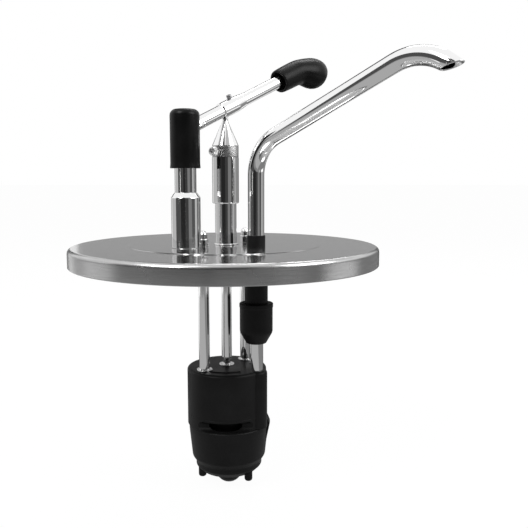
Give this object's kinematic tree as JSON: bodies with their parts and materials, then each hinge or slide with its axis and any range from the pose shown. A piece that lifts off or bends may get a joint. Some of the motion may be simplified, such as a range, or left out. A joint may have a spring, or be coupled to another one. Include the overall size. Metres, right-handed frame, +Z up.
{
  "type": "syrup pump dispenser",
  "caption": "Lever-operated syrup pump on a round pail lid, with a hinged press lever over a spring-loaded plunger, a swivelling gooseneck spout and a piston pump hanging below.",
  "frame": {"origin": "centre of the lid, on the underside of its rim, where it rests on the pail", "axes": "+Z up out of the pail along the lid's axis, +X to the spout's side, +Y away from the side that the spout points to"},
  "size_m": [0.2997, 0.279, 0.3861],
  "materials": {
    "brushed_lid": "stainless sheet with a fine circular brushed finish and a brighter edge",
    "polished_steel": "mirror-polished stainless steel",
    "spring_steel": "plain drawn steel",
    "black_cap": "black moulding with a low, soft gloss",
    "black_moulding": "black engineering plastic, satin matte",
    "seal_rubber": "food-grade rubber, matte",
    "white_plastic": "natural acetal, matte"
  },
  "bodies": {
    "pump_frame": {"lid": "brushed_lid", "post_sleeve": "polished_steel", "post_tube": "polished_steel", "post_cap": "black_cap", "fulcrum_pin": "polished_steel", "post_screw": "polished_steel", "post_washer": "polished_steel", "guide_tube": "polished_steel", "guide_bush": "white_plastic", "guide_nut": "polished_steel", "return_spring": "spring_steel", "tie_rods": "polished_steel", "rod_washers": "polished_steel", "cap_nuts": "polished_steel", "spout_socket": "black_moulding", "socket_nut": "polished_steel", "coupling_nut": "black_moulding", "spout_seal": "seal_rubber", "riser_tube": "polished_steel", "riser_seal": "seal_rubber", "pump_cover": "black_moulding", "pump_body": "black_moulding", "intake_ring": "black_moulding", "rod_gland": "polished_steel", "gland_seal": "seal_rubber", "valve_cup": "black_moulding", "cup_seal": "seal_rubber", "inlet_cage": "white_plastic", "outlet_cage": "white_plastic"},
    "lever": {"lever_rod": "polished_steel", "lever_hub": "polished_steel", "hub_screw": "spring_steel", "grip": "black_cap"},
    "plunger": {"plunger_cone": "polished_steel", "plunger_sleeve": "polished_steel", "piston_rod": "polished_steel", "stop_collar": "polished_steel", "piston": "white_plastic", "piston_seal": "seal_rubber", "piston_nut": "polished_steel"},
    "thumb": {"thumb_screw": "polished_steel"},
    "spout": {"spout_tube": "polished_steel"},
    "inlet_valve": {"inlet_ball": "polished_steel"},
    "outlet_valve": {"outlet_ball": "polished_steel"}
  },
  "joints": [
    {"name": "lever_swing", "type": "hinge", "parent": "pump_frame", "child": "lever", "pos_m": [-0.03, -0.0329, 0.0983], "axis": [-0.6641, 0.7477, 0], "range_deg": [0, 37]},
    {"name": "plunger_slide", "type": "slide", "parent": "pump_frame", "child": "plunger", "axis": [0, 0, -1], "range_m": [0, 0.0284], "stiffness_N_per_m": 700, "springref_m": -0.015, "deforming": ["return_spring"]},
    {"name": "spout_swivel", "type": "hinge", "parent": "pump_frame", "child": "spout", "pos_m": [0.0277, -0.0193, 0], "axis": [0, 0, 1], "range_deg": [-80, 70]},
    {"name": "thumb_turn", "type": "hinge", "parent": "plunger", "child": "thumb", "pos_m": [0.0013, -0.0051, 0.08205], "axis": [-0.6428, -0.766, 0], "continuous": true},
    {"name": "inlet_lift", "type": "slide", "parent": "pump_frame", "child": "inlet_valve", "axis": [0, 0, 1], "range_m": [0, 0.003]},
    {"name": "outlet_lift", "type": "slide", "parent": "pump_frame", "child": "outlet_valve", "axis": [0, 0, 1], "range_m": [0, 0.002]}
  ],
  "couplings": [
    {"joint": "plunger_slide", "follows": "lever_swing", "m_per_rad": 0.043933}
  ]
}
